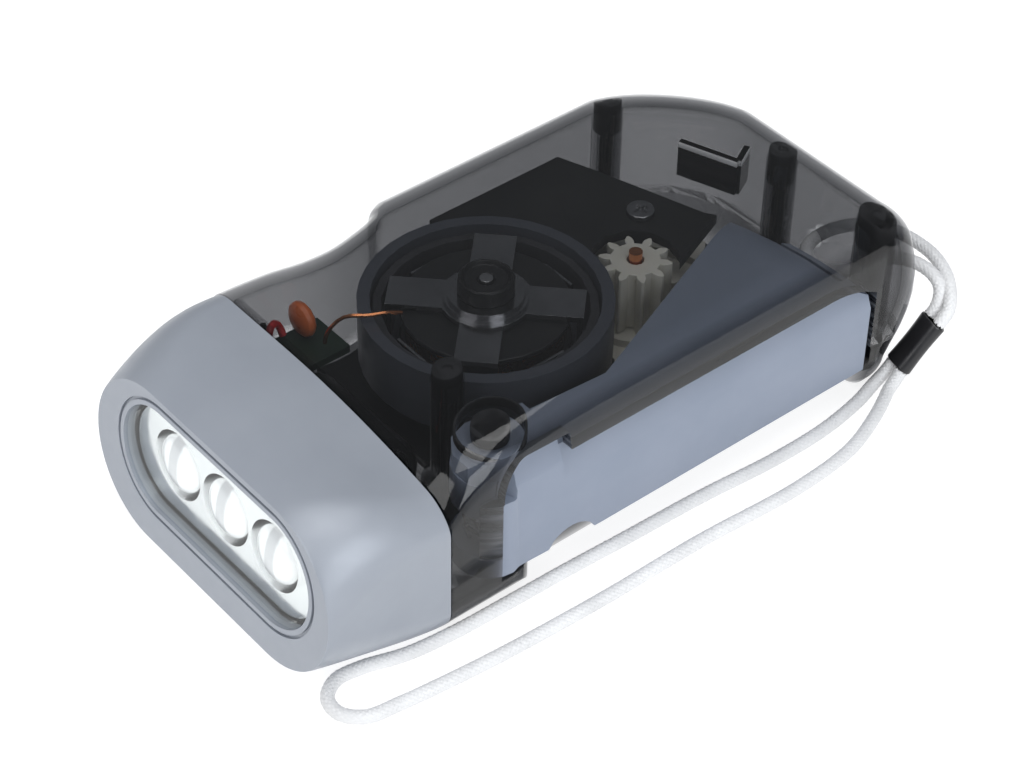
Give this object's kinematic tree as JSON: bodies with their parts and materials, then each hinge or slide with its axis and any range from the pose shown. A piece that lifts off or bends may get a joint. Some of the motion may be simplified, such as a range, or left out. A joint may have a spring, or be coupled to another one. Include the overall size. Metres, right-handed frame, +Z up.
{
  "type": "hand crank flashlight",
  "caption": "Squeeze-lever dynamo torch: smoke-clear body with grey lamp head, side-hinged lever, internal gear train and generator, and a cord wrist strap.",
  "frame": {"origin": "middle of the body's underside, without the strap, on the surface that the torch lies on", "axes": "+X towards the lever, +Y from the lamp face to the rear, +Z up through the clear roof"},
  "size_m": [0.0612, 0.1136, 0.03],
  "materials": {
    "smoke_plastic": "glossy, smoke-tinted and see-through",
    "silver_plastic": "satin silver grey",
    "lever_plastic": "satin blue grey",
    "black_plastic": "satin black",
    "cream_plastic": "satin, natural nylon or acetal",
    "clear_plastic": "polished clear",
    "metallised_plastic": "vacuum-metallised mirror",
    "white_plastic": "clear epoxy over white phosphor",
    "circuit_board": "green lacquered fibre board",
    "ferrite": "plastic-bonded ferrite, dull dark grey",
    "dark_steel": "blackened steel",
    "steel": "bright plated steel",
    "copper_wire": "lacquered copper",
    "orange_plastic": "dipped ceramic disc",
    "red_plastic": "red wire insulation",
    "white_cord": "braided white nylon"
  },
  "bodies": {
    "body": {"top_shell": "smoke_plastic", "bottom_shell": "smoke_plastic", "shell_screw_rear_left": "dark_steel", "shell_screw_rear_middle": "dark_steel", "shell_screw_rear_right": "dark_steel", "shell_screw_front": "dark_steel", "head_cap": "silver_plastic", "lens_window": "clear_plastic", "reflector": "metallised_plastic", "led_right": "white_plastic", "led_middle": "white_plastic", "led_left": "white_plastic", "led_board": "circuit_board", "claw_plate_lower": "dark_steel", "coil_bobbin": "black_plastic", "coil_winding": "copper_wire", "claw_plate_upper": "dark_steel", "axle_bush": "black_plastic", "flywheel_axle": "steel", "gear_axle": "steel", "chassis": "black_plastic", "gear_cover": "black_plastic", "cover_screw": "steel", "pivot_pin": "steel", "return_spring": "steel", "switch_body": "black_plastic", "cell_1": "steel", "cell_2": "steel", "cell_3": "steel", "pack_sleeve": "black_plastic", "rectifier_board": "circuit_board", "disc_capacitor": "orange_plastic", "red_wire": "red_plastic", "black_wire": "black_plastic", "head_wire": "red_plastic", "coil_lead": "copper_wire", "strap_sleeve": "black_plastic", "strap_loop": "white_cord", "strap_eye": "white_cord"},
    "lever": {"lever": "lever_plastic", "lever_rack": "cream_plastic"},
    "drive_train": {"drive_gear": "cream_plastic", "drive_pinion": "cream_plastic"},
    "flywheel": {"flywheel": "black_plastic", "ring_magnet": "ferrite"},
    "switch": {"switch_knob": "black_plastic"},
    "lock": {"lock_slider": "black_plastic"}
  },
  "joints": [
    {"name": "lever_squeeze", "type": "hinge", "parent": "body", "child": "lever", "pos_m": [0.02047, -0.021, 0], "axis": [0, 0, -1], "range_deg": [0, 22], "deforming": ["return_spring"]},
    {"name": "drive_gear_spin", "type": "hinge", "parent": "body", "child": "drive_train", "pos_m": [0.00146, 0.02078, 0], "axis": [0, 0, -1], "range_deg": [0, 247]},
    {"name": "flywheel_spin", "type": "hinge", "parent": "body", "child": "flywheel", "pos_m": [-0.0034, -0.00222, 0], "axis": [0, 0, -1], "range_deg": [-1041, 0]},
    {"name": "switch_slide", "type": "slide", "parent": "body", "child": "switch", "axis": [0.2313, 0.9729, 0], "range_m": [0, 0.003]},
    {"name": "lock_slide", "type": "slide", "parent": "body", "child": "lock", "axis": [0, 1, 0], "range_m": [0, 0.0035]}
  ],
  "couplings": [
    {"joint": "drive_gear_spin", "follows": "lever_squeeze", "ratio": 11.2},
    {"joint": "flywheel_spin", "follows": "lever_squeeze", "ratio": -47.289}
  ]
}
